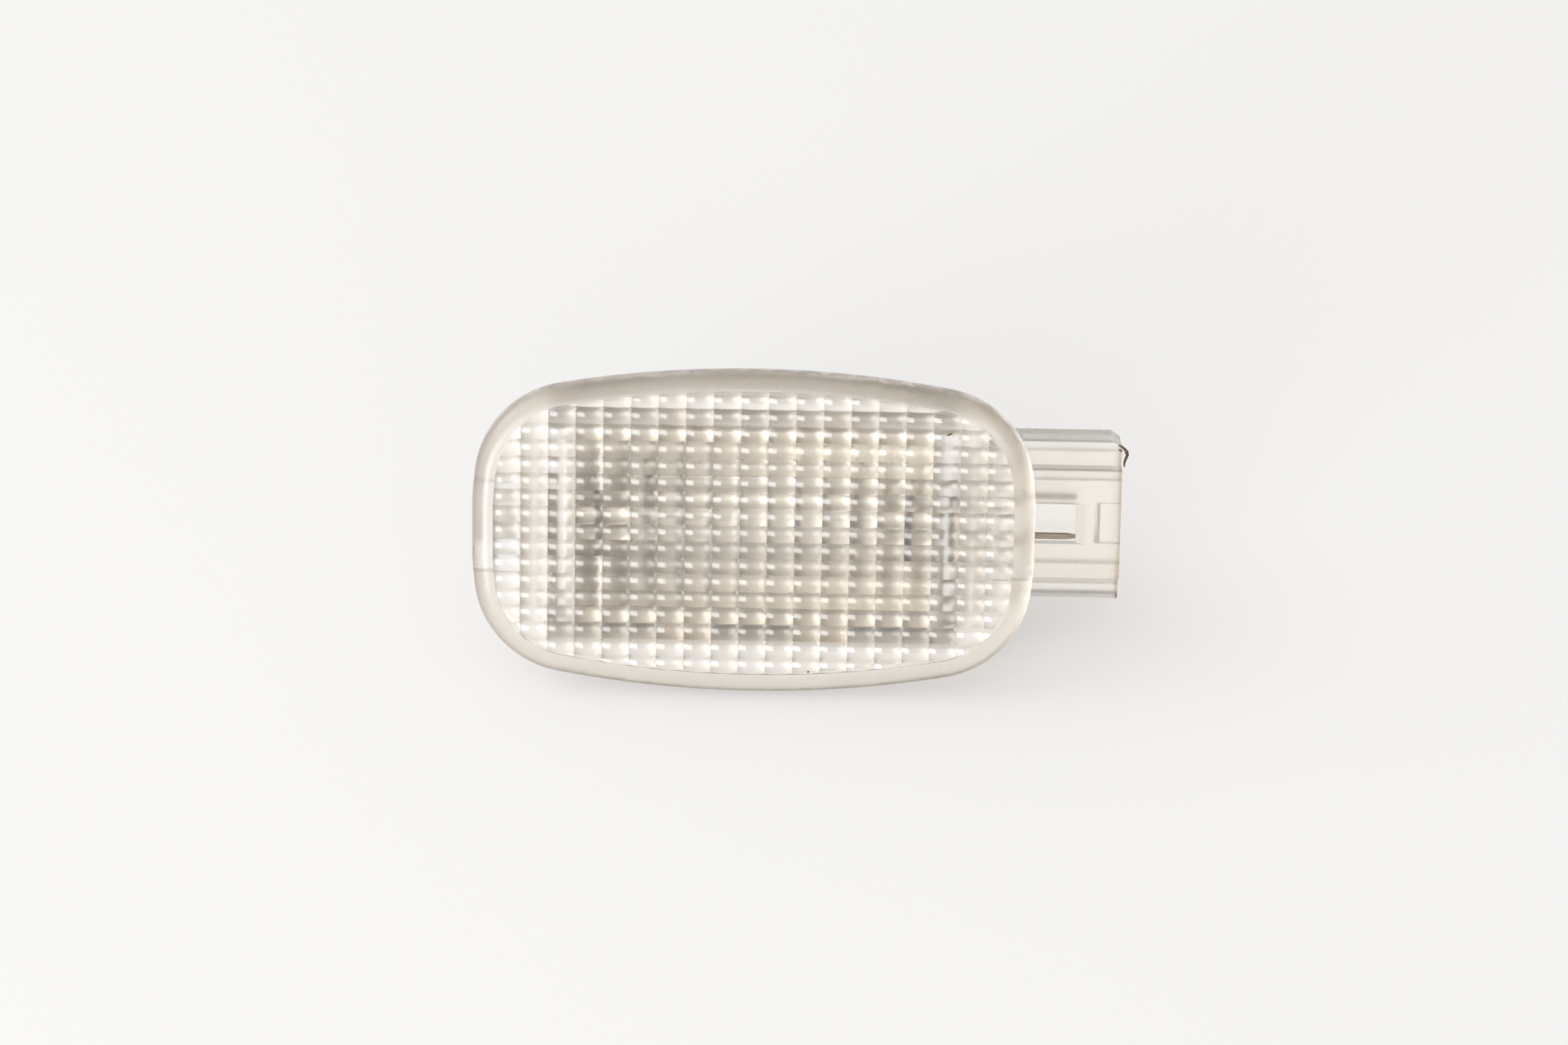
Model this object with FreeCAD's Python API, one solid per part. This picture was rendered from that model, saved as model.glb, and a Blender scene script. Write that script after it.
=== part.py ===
import FreeCAD, Part
import math
import os

from FreeCAD import Vector

# Snap-in luggage-compartment lamp with a clear prismatic lens and a plug socket at one end.
# Millimetres. The lens faces -Y, the socket opens towards +X, +Z is up.
# The origin is the middle of the seat plane, the back of the housing's flange.

# Festoon bulb
bulb_length = 44.0
bulb_radius = 5.25
bulb_gap = 1.2
glass_wall = 0.6
glass_end_gap = 1.9
glass_shoulder = 0.8
neck_radius = 2.9
neck_length = 3.4
cap_radius = 3.5
cap_wall = 0.4
cap_end_wall = 0.5
cap_shoulder = 1.2
nipple_length = 1.0
nipple_radius = 1.4
tip_reach = 0.8
lead_radius = 0.25
lead_clearance = 0.1
coil_radius = 0.6
coil_half_length = 7.0

# Bulb chamber and flange of the housing
end_room = 2.2
chamber_half_height = 11.8
chamber_wall = 1.4
chamber_corner = 2.0
flange_side = 7.4
flange_top = 6.25
flange_thickness = 1.2
flange_inset = 0.35
notch_half_height = 5.4

# Lens plate, rim and prisms
long_bow = 4.34
end_bow = 3.24
corner_radius = 12.1
rim_width = 2.5
rim_thickness = 2.8
rim_round = 2.2
plate_thickness = 2.1
prism_pitch_x = 3.2
prism_pitch_z = 2.0
prism_bevel_x = 1.0
prism_bevel_z = 0.65
prism_depth = 0.4
prism_recess = 0.1
smallest_prism_share = 0.06

# Reflector trough
sheet = 0.4
trough_front = 1.2
trough_lip = 0.5
trough_clearance = 0.3
trough_end_gap = 0.6
trough_back_room = 0.6
cap_notch_clearance = 0.5
tab_spacing = 16.0
tab_length = 6.0
tab_reach = 1.4
window_clearance = 0.2

# Contact strips
strip = 0.64
strip_width = 2.8
bend_radius = 0.8
pin_width = 0.64
pin_pitch = 5.0
pin_tip_length = 1.2
pin_tip_scale = 0.6
pin_shoulder_gap = 0.4
fork_half_height = 4.0
fork_half_width = 3.8
fork_slot = 1.5
nipple_clearance = 0.1
slot_clearance = 0.1
riser_gap = 0.5
guide_rib_thickness = 0.8
guide_rib_half_length = 16.0

# Plug socket
socket_reach = 10.2
socket_depth = 11.6
socket_front = 3.5
socket_half_height = 6.7
socket_wall = 1.6
cavity_thickness = 4.6
wing_setback = 2.1
wing_half_height = 9.7
pin_wall = 2.0
pin_recess = 5.0
socket_edge_round = 0.4
latch_half_height = 2.43
latch_window_length = 5.8
latch_bar = 2.1
latch_bevel = 1.0
latch_bevel_depth = 0.8
lead_in_length = 3.1
lead_in_depth = 0.7
broken_corner_x = 1.1
broken_corner_z = 0.8

# Snap tongue and guide ribs outside the chamber
tongue_gap = 2.2
tongue_thickness = 1.1
tongue_half_height = 3.0
tongue_root = 1.6
tongue_tip_y = 1.2
notch_clearance = 0.4
nose_reach = 1.5
nose_shoulder_y = 3.0
nose_length = 4.6
centring_rib_x = 15.0
centring_rib_width = 1.2
centring_rib_height = 0.6
centring_rib_length = 7.0
centring_rib_taper = 1.5

# How far a cutting block runs past the face that it opens
overrun = 1.0

# Places that follow from the sizes above
bulb_half = bulb_length / 2
cap_straight_end = bulb_half - nipple_length - cap_shoulder
cap_bore_end = cap_straight_end - cap_end_wall
glass_half_length = cap_bore_end - glass_end_gap
fork_inner = bulb_half - tip_reach
chamber_half_length = bulb_half + end_room
chamber_outer_x = chamber_half_length + chamber_wall
chamber_outer_z = chamber_half_height + chamber_wall
lens_half_width = chamber_outer_x + flange_side
lens_half_height = chamber_outer_z + flange_top
long_radius = (lens_half_width**2 + long_bow**2) / (2 * long_bow)
end_radius = (lens_half_height**2 + end_bow**2) / (2 * end_bow)
rim_back = -flange_thickness
lens_front = rim_back - rim_thickness
trough_radius = chamber_half_height - trough_clearance - trough_lip - sheet
trough_half_length = fork_inner - trough_end_gap - sheet
trough_floor = trough_front + trough_radius
chamber_back = trough_floor + sheet + trough_back_room
bulb_y = trough_floor - bulb_gap - bulb_radius
mouth_x = lens_half_width + socket_reach
pin_wall_end = mouth_x - socket_depth
pin_wall_start = pin_wall_end - pin_wall
cavity_front = socket_front + socket_wall
cavity_back = cavity_front + cavity_thickness
socket_back = cavity_back + socket_wall
wing_front = socket_front + wing_setback
pin_y = cavity_front + cavity_thickness / 2
pin_end = mouth_x - pin_recess
pin_shoulder = pin_wall_start - pin_shoulder_gap
corner_bend = chamber_corner - strip / 2
tongue_inner = chamber_outer_x + tongue_gap
tongue_outer = tongue_inner + tongue_thickness


def block(x0, x1, y0, y1, z0, z1):
    """Box between two opposite corners."""
    return Part.makeBox(x1 - x0, y1 - y0, z1 - z0, Vector(x0, y0, z0))


def profile_along_z(points, half_height):
    """Polygon of (x, y) points, extruded to both sides of the middle plane."""
    corners = [Vector(x, y, -half_height) for x, y in points]
    face = Part.Face(Part.makePolygon(corners + corners[:1]))
    return face.extrude(Vector(0, 0, 2 * half_height))


def turned_on_bulb_axis(points):
    """Solid of revolution about the bulb's axis from a closed outline of (x, radius) points."""
    corners = [Vector(x, bulb_y, radius) for x, radius in points]
    face = Part.Face(Part.makePolygon(corners + corners[:1]))
    return face.revolve(Vector(0, bulb_y, 0), Vector(1, 0, 0), 360)


def mirrored_across_x(shape):
    """Copy of a shape on the other side of the plane x = 0."""
    return shape.mirror(Vector(0, 0, 0), Vector(1, 0, 0))


def mirrored_across_z(shape):
    """Copy of a shape on the other side of the plane z = 0."""
    return shape.mirror(Vector(0, 0, 0), Vector(0, 0, 1))


def edges_at_y(shape, y):
    """Edges that lie wholly in the plane at y."""
    near = 1e-4
    return [
        edge for edge in shape.Edges
        if abs(edge.BoundBox.YMin - y) < near and abs(edge.BoundBox.YMax - y) < near
    ]


def rounded_block(half_x, half_z, radius, y0, y1):
    """Block centred on the Y axis whose four edges along Y are rounded."""
    plain = block(-half_x, half_x, y0, y1, -half_z, half_z)
    upright = [e for e in plain.Edges if e.BoundBox.YLength > e.BoundBox.XLength + e.BoundBox.ZLength]
    return plain.makeFillet(radius, upright)


def corner_centre(y):
    """Centre of the corner arc that touches the bowed long side and the bowed end."""
    long_centre = Vector(0, y, lens_half_height - long_radius)
    end_centre = Vector(lens_half_width - end_radius, y, 0)
    span = end_centre - long_centre
    reach = long_radius - corner_radius
    other_reach = end_radius - corner_radius
    along = (reach**2 - other_reach**2 + span.Length**2) / (2 * span.Length)
    aside = math.sqrt(reach**2 - along**2)
    direction = span / span.Length
    across = Vector(direction.z, 0, -direction.x)
    return long_centre + direction * along + across * aside


def lens_outline(inset, y):
    """Outline of the lens moved in by inset: bowed long sides, bowed ends and round corners."""
    long_centre = Vector(0, y, lens_half_height - long_radius)
    end_centre = Vector(lens_half_width - end_radius, y, 0)
    corner = corner_centre(y)
    to_upper = (corner - long_centre).normalize()
    to_outer = (corner - end_centre).normalize()
    upper = long_centre + to_upper * (long_radius - inset)
    outer = end_centre + to_outer * (end_radius - inset)
    middle = corner + (to_upper + to_outer).normalize() * (corner_radius - inset)
    below = [Vector(p.x, p.y, -p.z) for p in (outer, middle, upper)]
    top = Vector(0, y, lens_half_height - inset)
    side = Vector(lens_half_width - inset, y, 0)
    arcs = [
        Part.Arc(Vector(-upper.x, y, upper.z), top, upper),
        Part.Arc(upper, middle, outer),
        Part.Arc(outer, side, below[0]),
        Part.Arc(below[0], below[1], below[2]),
    ]
    half = [arc.toShape() for arc in arcs]
    other_half = [edge.rotated(Vector(0, 0, 0), Vector(0, 1, 0), 180) for edge in half]
    return Part.Wire(half + other_half)


def lens_slab(inset, y0, y1):
    """Plate with the lens's outline, moved in by inset."""
    return Part.Face(lens_outline(inset, y0)).extrude(Vector(0, y1 - y0, 0))


def prism_pocket():
    """Space in front of the prisms: a grid of cells with crowned floors, clipped to the inside of the rim."""
    crown_y = lens_front + prism_recess
    valley_y = crown_y + prism_depth
    pocket_front = lens_front - overrun
    columns = round(2 * (lens_half_width - rim_width) / prism_pitch_x)
    rows = round(2 * (lens_half_height - rim_width) / prism_pitch_z)
    half_x = prism_pitch_x / 2
    half_z = prism_pitch_z / 2
    crown_x = half_x - prism_bevel_x
    crown_z = half_z - prism_bevel_z
    prism = Part.makeWedge(-crown_x, crown_y, -crown_z, -half_z, -half_x,
                           crown_x, valley_y, crown_z, half_z, half_x)
    cell = block(-half_x, half_x, pocket_front, valley_y, -half_z, half_z).cut(prism)
    field = lens_slab(rim_width, pocket_front - overrun, valley_y + overrun)
    field_face = Part.Face(lens_outline(rim_width, pocket_front))
    kept = {}
    for column in range(columns):
        for row in range(rows):
            x = (column - (columns - 1) / 2) * prism_pitch_x
            z = (row - (rows - 1) / 2) * prism_pitch_z
            corners = [
                Vector(x + a, pocket_front, z + b)
                for a in (-half_x, half_x)
                for b in (-half_z, half_z)
            ]
            placed = cell.translated(Vector(x, 0, z))
            if not all(field_face.isInside(p, 1e-6, True) for p in corners):
                placed = placed.common(field)
            if placed.Volume < smallest_prism_share * cell.Volume:
                continue
            for face in placed.Faces:
                middle = face.CenterOfMass
                key = (round(middle.x, 3), round(middle.y, 3), round(middle.z, 3))
                kept.setdefault(key, []).append(face)
    # A wall between two cells is met twice, and both copies are left out
    skin = Part.makeShell([faces[0] for faces in kept.values() if len(faces) == 1])
    skin.sewShape()
    return Part.makeSolid(skin).removeSplitter()


def make_lens():
    """Clear front plate with a rounded rim, crowned prisms on its face and a shallow hollow behind."""
    blank = lens_slab(0, lens_front, rim_back)
    blank = blank.makeFillet(rim_round, edges_at_y(blank, lens_front))
    hollow = lens_slab(rim_width, lens_front + plate_thickness, rim_back + overrun)
    return blank.cut([prism_pocket(), hollow])


def snap_tongue():
    """Sprung tongue beside the chamber's left end, with a nose that snaps behind the panel."""
    buried = chamber_outer_x - chamber_wall / 2
    root_front = chamber_back - tongue_root
    points = [
        (-buried, chamber_back),
        (-tongue_outer, chamber_back),
        (-tongue_outer, nose_shoulder_y + nose_length),
        (-tongue_outer - nose_reach, nose_shoulder_y + nose_reach / 2),
        (-tongue_outer - nose_reach, nose_shoulder_y),
        (-tongue_outer, nose_shoulder_y),
        (-tongue_outer, tongue_tip_y),
        (-tongue_inner, tongue_tip_y),
        (-tongue_inner, root_front),
        (-buried, root_front),
    ]
    return profile_along_z(points, tongue_half_height)


def centring_ribs():
    """Four tapered ribs that centre the chamber in the panel's opening."""
    base = chamber_outer_z - chamber_wall / 2
    crest = chamber_outer_z + centring_rib_height
    left = centring_rib_x - centring_rib_width / 2
    corners = [
        Vector(left, -flange_thickness / 2, base),
        Vector(left, -flange_thickness / 2, crest),
        Vector(left, centring_rib_length - centring_rib_taper, crest),
        Vector(left, centring_rib_length, base),
    ]
    rib = Part.Face(Part.makePolygon(corners + corners[:1])).extrude(Vector(centring_rib_width, 0, 0))
    pair = [rib, mirrored_across_x(rib)]
    return pair + [mirrored_across_z(one) for one in pair]


def socket_body():
    """Outside of the plug socket: a raised middle between two set-back wings, on a hollow neck."""
    raised = block(pin_wall_start, mouth_x, socket_front, socket_back,
                   -socket_half_height, socket_half_height)
    front_edges = [e for e in edges_at_y(raised, socket_front) if e.BoundBox.XLength > e.BoundBox.ZLength]
    raised = raised.makeFillet(socket_edge_round, front_edges)
    wings = block(pin_wall_start, mouth_x, wing_front, socket_back, -wing_half_height, wing_half_height)
    long_edges = [e for e in wings.Edges if e.BoundBox.XLength > e.BoundBox.YLength + e.BoundBox.ZLength]
    wings = wings.makeFillet(socket_edge_round, long_edges)
    neck_start = chamber_outer_x - chamber_wall / 2
    neck = block(neck_start, pin_wall_start, socket_front, socket_back,
                 -socket_half_height, socket_half_height)
    return [raised, wings, neck]


def socket_hollows():
    """Inside of the plug socket: keyed cavity, cored neck, latch window, lead-in and contact slots."""
    inner = socket_half_height - socket_wall
    wing_inner = wing_half_height - socket_wall
    outside = mouth_x + overrun
    cavity = block(pin_wall_end, outside, cavity_front, cavity_back, -inner, inner)
    keys = block(pin_wall_end, outside, wing_front + socket_wall, cavity_back, -wing_inner, wing_inner)
    core = block(chamber_outer_x, pin_wall_start, cavity_front, socket_back + overrun, -inner, inner)
    bar_end = mouth_x - lead_in_length
    bar_start = bar_end - latch_bar
    into_cavity = cavity_front + cavity_thickness / 4
    window = block(bar_start - latch_window_length, bar_start, socket_front - overrun, into_cavity,
                   -latch_half_height, latch_half_height)
    bevel_points = [
        (bar_start, socket_front - overrun),
        (bar_start + latch_bevel, socket_front - overrun),
        (bar_start + latch_bevel, socket_front),
        (bar_start, socket_front + latch_bevel_depth),
    ]
    lead_in_points = [
        (bar_end, cavity_front),
        (bar_end + lead_in_depth, cavity_front - lead_in_depth),
        (outside, cavity_front - lead_in_depth),
        (outside, into_cavity),
        (bar_end, into_cavity),
    ]
    bevel = profile_along_z(bevel_points, latch_half_height)
    lead_in = profile_along_z(lead_in_points, latch_half_height)
    broken_points = [
        Vector(mouth_x - broken_corner_x, 0, wing_half_height),
        Vector(mouth_x, 0, wing_half_height - broken_corner_z),
        Vector(outside, 0, wing_half_height - broken_corner_z),
        Vector(outside, 0, wing_half_height + overrun),
        Vector(mouth_x - broken_corner_x, 0, wing_half_height + overrun),
    ]
    broken = Part.Face(Part.makePolygon(broken_points + broken_points[:1]))
    broken_corner = broken.extrude(Vector(0, socket_back + overrun, 0))
    strip_reach = strip_width / 2 + slot_clearance
    pin_reach = pin_width / 2 + slot_clearance
    reach_z = strip / 2 + slot_clearance
    slots = []
    for z in (-pin_pitch / 2, pin_pitch / 2):
        slots.append(block(chamber_half_length - overrun, pin_wall_start,
                           pin_y - strip_reach, pin_y + strip_reach, z - reach_z, z + reach_z))
        slots.append(block(pin_wall_start - overrun, pin_wall_end + overrun,
                           pin_y - pin_reach, pin_y + pin_reach, z - reach_z, z + reach_z))
    return [cavity, keys, core, window, bevel, lead_in, broken_corner] + slots


def tab_windows():
    """Openings in the long chamber walls that catch the reflector's tabs."""
    half = tab_length / 2 + window_clearance
    front = trough_front - window_clearance
    back = trough_front + sheet + window_clearance
    openings = []
    for x in (-tab_spacing / 2, tab_spacing / 2):
        upper = block(x - half, x + half, front, back,
                      chamber_half_height - overrun, chamber_outer_z + overrun)
        openings += [upper, mirrored_across_z(upper)]
    return openings


def strip_guides():
    """Two ribs on the chamber's lower wall, with the left contact's strip lying between them."""
    base = -chamber_half_height - chamber_wall / 2
    top = strip - chamber_half_height
    reach = strip_width / 2 + slot_clearance
    return [
        block(-guide_rib_half_length, guide_rib_half_length, near, near + guide_rib_thickness, base, top)
        for near in (pin_y - reach - guide_rib_thickness, pin_y + reach)
    ]


def make_housing():
    """Clear moulding: flange, bulb chamber, snap tongue and plug socket in one piece."""
    flange = lens_slab(flange_inset, rim_back, 0)
    outer_corner = chamber_corner + chamber_wall
    tub = rounded_block(chamber_outer_x, chamber_outer_z, outer_corner, rim_back, chamber_back)
    room = rounded_block(chamber_half_length, chamber_half_height, chamber_corner,
                         rim_back - overrun, chamber_back + overrun)
    notch_start = tongue_inner - notch_clearance
    notch = block(notch_start, lens_half_width + overrun, rim_back - overrun, overrun,
                  -notch_half_height, notch_half_height)
    flange = flange.cut([notch, mirrored_across_x(notch)])
    body = flange.fuse([tub, snap_tongue()] + centring_ribs() + socket_body())
    body = body.cut([room] + socket_hollows() + tab_windows())
    return body.fuse(strip_guides()).removeSplitter()


def make_reflector():
    """Bright sheet trough behind the bulb, with lips, end walls and four locking tabs."""
    outer_radius = trough_radius + sheet
    start = Vector(-trough_half_length - sheet, trough_front, 0)
    length = 2 * (trough_half_length + sheet)
    front_half = block(start.x - overrun, -start.x + overrun, trough_front - 2 * outer_radius,
                       trough_front, -2 * outer_radius, 2 * outer_radius)
    drum = Part.makeCylinder(outer_radius, length, start, Vector(1, 0, 0))
    hollow = Part.makeCylinder(trough_radius, 2 * trough_half_length,
                               start + Vector(sheet, 0, 0), Vector(1, 0, 0))
    trough = drum.cut([hollow, front_half])
    notch_radius = cap_radius + cap_notch_clearance
    notch = Part.makeCylinder(notch_radius, length, Vector(start.x, bulb_y, 0), Vector(1, 0, 0))
    throat = block(start.x, -start.x, trough_front, bulb_y, -notch_radius, notch_radius)
    trough = trough.cut([notch.fuse(throat)])
    lip_edge = outer_radius + trough_lip
    lip = block(start.x, -start.x, trough_front, trough_front + sheet, trough_radius, lip_edge)
    hidden = Part.makeCylinder(trough_radius, length, start, Vector(1, 0, 0))
    pieces = [lip.cut(hidden)]
    for x in (-tab_spacing / 2, tab_spacing / 2):
        pieces.append(block(x - tab_length / 2, x + tab_length / 2, trough_front, trough_front + sheet,
                            lip_edge - sheet, lip_edge + tab_reach))
    return trough.fuse(pieces + [mirrored_across_z(piece) for piece in pieces]).removeSplitter()


def folded_strip(points, bends):
    """Strip swept along (x, z) points, with a bend of its own radius at each inner one."""
    path = [Vector(x, pin_y, z) for x, z in points]
    edges = []
    begin = path[0]
    for before, corner, after, radius in zip(path, path[1:], path[2:], bends):
        into = (corner - before).normalize()
        out = (after - corner).normalize()
        bend_start = corner - into * radius
        bend_end = corner + out * radius
        inward = (out - into).normalize()
        bend_middle = corner + inward * radius * (math.sqrt(2) - 1)
        edges.append(Part.LineSegment(begin, bend_start).toShape())
        edges.append(Part.Arc(bend_start, bend_middle, bend_end).toShape())
        begin = bend_end
    edges.append(Part.LineSegment(begin, path[-1]).toShape())
    half_y = strip_width / 2
    half_t = strip / 2
    section = [(-half_t, -half_y), (half_t, -half_y), (half_t, half_y), (-half_t, half_y)]
    corners = [path[0] + Vector(a, b, 0) for a, b in section]
    rectangle = Part.makePolygon(corners + corners[:1])
    return Part.Wire(edges).makePipeShell([rectangle], True, False)


def square_pin(z):
    """Pin from the strip's shoulder into the socket, with a tapered tip."""
    tip_start = pin_end - pin_tip_length
    half_y = pin_width / 2
    half_z = strip / 2
    shaft = block(pin_shoulder, tip_start, pin_y - half_y, pin_y + half_y, z - half_z, z + half_z)
    sections = []
    for x, scale in ((tip_start, 1.0), (pin_end, pin_tip_scale)):
        section = [(-half_y, -half_z), (half_y, -half_z), (half_y, half_z), (-half_y, half_z)]
        points = [Vector(x, pin_y + scale * a, z + scale * b) for a, b in section]
        sections.append(Part.makePolygon(points + points[:1]))
    return shaft.fuse(Part.makeLoft(sections, True))


def bulb_fork(x, z_low, z_high):
    """Sprung plate across the bulb's axis, with a hole for the cap's tip and a slot to spread it."""
    hole_radius = nipple_radius + nipple_clearance
    plate = block(x, x + strip, bulb_y - fork_half_width, bulb_y + fork_half_width, z_low, z_high)
    hole = Part.makeCylinder(hole_radius, strip, Vector(x, bulb_y, 0), Vector(1, 0, 0))
    slot = block(x, x + strip, bulb_y, pin_y + strip_width, -fork_slot / 2, fork_slot / 2)
    return plate, [hole, slot]


def make_contact_left():
    """Left contact: bulb fork, a run along the chamber's lower wall and the lower pin."""
    pin_z = -pin_pitch / 2
    floor_z = strip / 2 - chamber_half_height
    riser_x = chamber_half_length - riser_gap - strip / 2
    fork_x = -fork_inner - strip / 2
    route = [
        (fork_x, fork_half_height),
        (fork_x, floor_z),
        (riser_x, floor_z),
        (riser_x, pin_z),
        (pin_shoulder, pin_z),
    ]
    run = folded_strip(route, (corner_bend, corner_bend, bend_radius))
    plate, openings = bulb_fork(fork_x - strip / 2, -fork_half_height, fork_half_height)
    return run.fuse([plate, square_pin(pin_z)]).cut(openings).removeSplitter()


def make_contact_right():
    """Right contact: bulb fork that runs straight into the upper pin."""
    pin_z = pin_pitch / 2
    fork_x = fork_inner + strip / 2
    route = [(fork_x, -fork_half_height), (fork_x, pin_z), (pin_shoulder, pin_z)]
    run = folded_strip(route, (bend_radius,))
    plate, openings = bulb_fork(fork_x - strip / 2, -fork_half_height, pin_z - bend_radius)
    return run.fuse([plate, square_pin(pin_z)]).cut(openings).removeSplitter()


def make_bulb_cap():
    """Right end cap: a cup round the glass neck, with a shoulder and a blunt nipple."""
    open_end = glass_half_length - neck_length + glass_wall
    bore = cap_radius - cap_wall
    points = [
        (open_end, bore),
        (open_end, cap_radius),
        (cap_straight_end, cap_radius),
        (bulb_half - nipple_length, nipple_radius),
        (bulb_half, nipple_radius),
        (bulb_half, 0),
        (cap_bore_end, 0),
        (cap_bore_end, bore),
    ]
    return turned_on_bulb_axis(points)


def make_bulb_glass():
    """Hollow glass tube with shouldered ends, sealed round a lead wire in each neck."""
    neck_start = glass_half_length - neck_length
    shoulder_start = neck_start - glass_shoulder
    hole = lead_radius + lead_clearance
    outside = [(neck_start, bulb_radius), (neck_start, neck_radius), (glass_half_length, neck_radius)]
    inside = [
        (glass_half_length, hole),
        (shoulder_start, hole),
        (shoulder_start, bulb_radius - glass_wall),
    ]
    left_outside = [(-x, radius) for x, radius in reversed(outside)]
    left_inside = [(-x, radius) for x, radius in reversed(inside)]
    return turned_on_bulb_axis(left_outside + outside + inside + left_inside)


def make_bulb_filament():
    """Coiled filament in the middle of its two lead wires."""
    right = [
        (coil_half_length, coil_radius),
        (coil_half_length, lead_radius),
        (cap_bore_end, lead_radius),
        (cap_bore_end, 0),
    ]
    left = [(-x, radius) for x, radius in reversed(right)]
    return turned_on_bulb_axis(left + right)


def main():
    """Build every piece and write one file for each."""
    os.makedirs("parts", exist_ok=True)
    cap = make_bulb_cap()
    pieces = {
        "lens": make_lens(),
        "housing": make_housing(),
        "reflector": make_reflector(),
        "contact_left": make_contact_left(),
        "contact_right": make_contact_right(),
        "bulb_glass": make_bulb_glass(),
        "bulb_cap_left": mirrored_across_x(cap),
        "bulb_cap_right": cap,
        "bulb_filament": make_bulb_filament(),
    }
    for name, shape in pieces.items():
        shape.exportStep(f"parts/{name}.step")
        print(name, shape.isValid(), len(shape.Solids), round(shape.Volume, 2))


main()
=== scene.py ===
import logging
import math
from dataclasses import dataclass, field
from enum import Enum
from typing import Iterable, Sequence

import bmesh
import bpy
import numpy as np
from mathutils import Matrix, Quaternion, Vector, noise


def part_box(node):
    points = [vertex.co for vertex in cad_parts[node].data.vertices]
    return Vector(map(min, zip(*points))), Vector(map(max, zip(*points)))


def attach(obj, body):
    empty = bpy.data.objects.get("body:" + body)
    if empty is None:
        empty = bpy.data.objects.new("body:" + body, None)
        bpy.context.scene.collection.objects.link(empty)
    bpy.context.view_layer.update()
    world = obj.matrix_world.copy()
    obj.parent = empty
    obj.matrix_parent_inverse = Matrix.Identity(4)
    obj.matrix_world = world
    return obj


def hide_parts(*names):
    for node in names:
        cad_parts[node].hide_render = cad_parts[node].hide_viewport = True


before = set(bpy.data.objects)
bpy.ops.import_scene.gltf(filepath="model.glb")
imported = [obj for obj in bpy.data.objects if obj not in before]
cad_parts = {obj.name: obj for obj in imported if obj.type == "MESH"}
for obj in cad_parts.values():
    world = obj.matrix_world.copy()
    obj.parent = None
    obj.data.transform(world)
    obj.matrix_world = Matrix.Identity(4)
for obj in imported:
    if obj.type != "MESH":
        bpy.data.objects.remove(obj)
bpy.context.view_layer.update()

# The lamp's sizes are in millimetres, and MM makes them metres.
MM = 0.001
RIM = "rim"
INSIDE = "inside"
# How far past the reflector the painted shade over the chamber reaches, along X and Z.
CHAMBER_SHADE_REACH = (2.6, 1.6)

log = logging.getLogger("trunk_light")

Color = tuple[float, float, float]
Size = tuple[float, float, float]
Point = tuple[float, float]
Mesh = bmesh.types.BMesh
Vert = bmesh.types.BMVert
Tree = bpy.types.NodeTree
Socket = bpy.types.NodeSocket
Inputs = dict[str | int, object]


class Lay(Enum):
    """Which way the fine lines of a rolled or drawn metal run, as their squeeze along X, Y and Z."""

    ALONG_X = (1.0, 40.0, 40.0)
    ALONG_Y = (40.0, 1.0, 40.0)


class Face(Enum):
    """Which face of the lens a field of domes stands on, as the way its edges fall back along Y."""

    FRONT = 1
    INNER = -1


def corner_of(node: str) -> tuple[Vector, Vector]:
    """Lowest and highest corner of a node, in millimetres.

    Args:
        node: Name of the solid in the frame.

    Returns:
        The two opposite corners of its box at rest.
    """
    low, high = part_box(node)
    return low / MM, high / MM


def points_of(node: str) -> list[Vector]:
    """Points of a node's mesh, in millimetres."""
    return [vert.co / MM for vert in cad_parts[node].data.vertices]


def add_piece(name: str, shape: Mesh, crease: float) -> bpy.types.Object:
    """Turn a mesh in millimetres into a smooth-shaded object with sharp creases.

    Args:
        name: Name of the new piece.
        shape: Mesh to take over, which is freed.
        crease: Angle in degrees from which an edge stays sharp.

    Returns:
        The new object, linked to the scene.
    """
    bmesh.ops.recalc_face_normals(shape, faces=shape.faces)
    limit = math.radians(crease)
    for edge in shape.edges:
        edge.smooth = edge.calc_face_angle(0.0) < limit
    for face in shape.faces:
        face.smooth = True
    bmesh.ops.scale(shape, vec=(MM, MM, MM), verts=shape.verts)
    mesh = bpy.data.meshes.new(name)
    shape.to_mesh(mesh)
    shape.free()
    piece = bpy.data.objects.new(name, mesh)
    bpy.context.scene.collection.objects.link(piece)
    log.info("%s: %d faces", name, len(mesh.polygons))
    return piece


def bridge(shape: Mesh, one: Sequence[Vert], other: Sequence[Vert]) -> None:
    """Join two closed rings of as many points with a band of faces.

    Args:
        shape: Mesh that holds both rings.
        one: First ring, in order.
        other: Second ring, in the same order.
    """
    count = len(one)
    for index in range(count):
        after = (index + 1) % count
        shape.faces.new((one[index], one[after], other[after], other[index]))


def add_ring(shape: Mesh, middle: Vector, one: Vector, other: Vector, steps: int) -> list[Vert]:
    """Add a ring of points.

    Args:
        shape: Mesh that takes the points.
        middle: Middle of the ring.
        one: Way from the middle to the first point.
        other: Way from the middle to the point a quarter turn on.
        steps: Number of points.

    Returns:
        The points, in order.
    """
    turn = [2 * math.pi * step / steps for step in range(steps)]
    return [shape.verts.new(middle + one * math.cos(a) + other * math.sin(a)) for a in turn]


def add_tube(shape: Mesh, rings: Sequence[Sequence[Vert]]) -> None:
    """Join rings to a tube that is closed at both ends.

    Args:
        shape: Mesh that holds the rings.
        rings: The rings, from one end to the other.
    """
    for one, other in zip(rings, rings[1:]):
        bridge(shape, one, other)
    shape.faces.new(rings[0])
    shape.faces.new(rings[-1])


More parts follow.
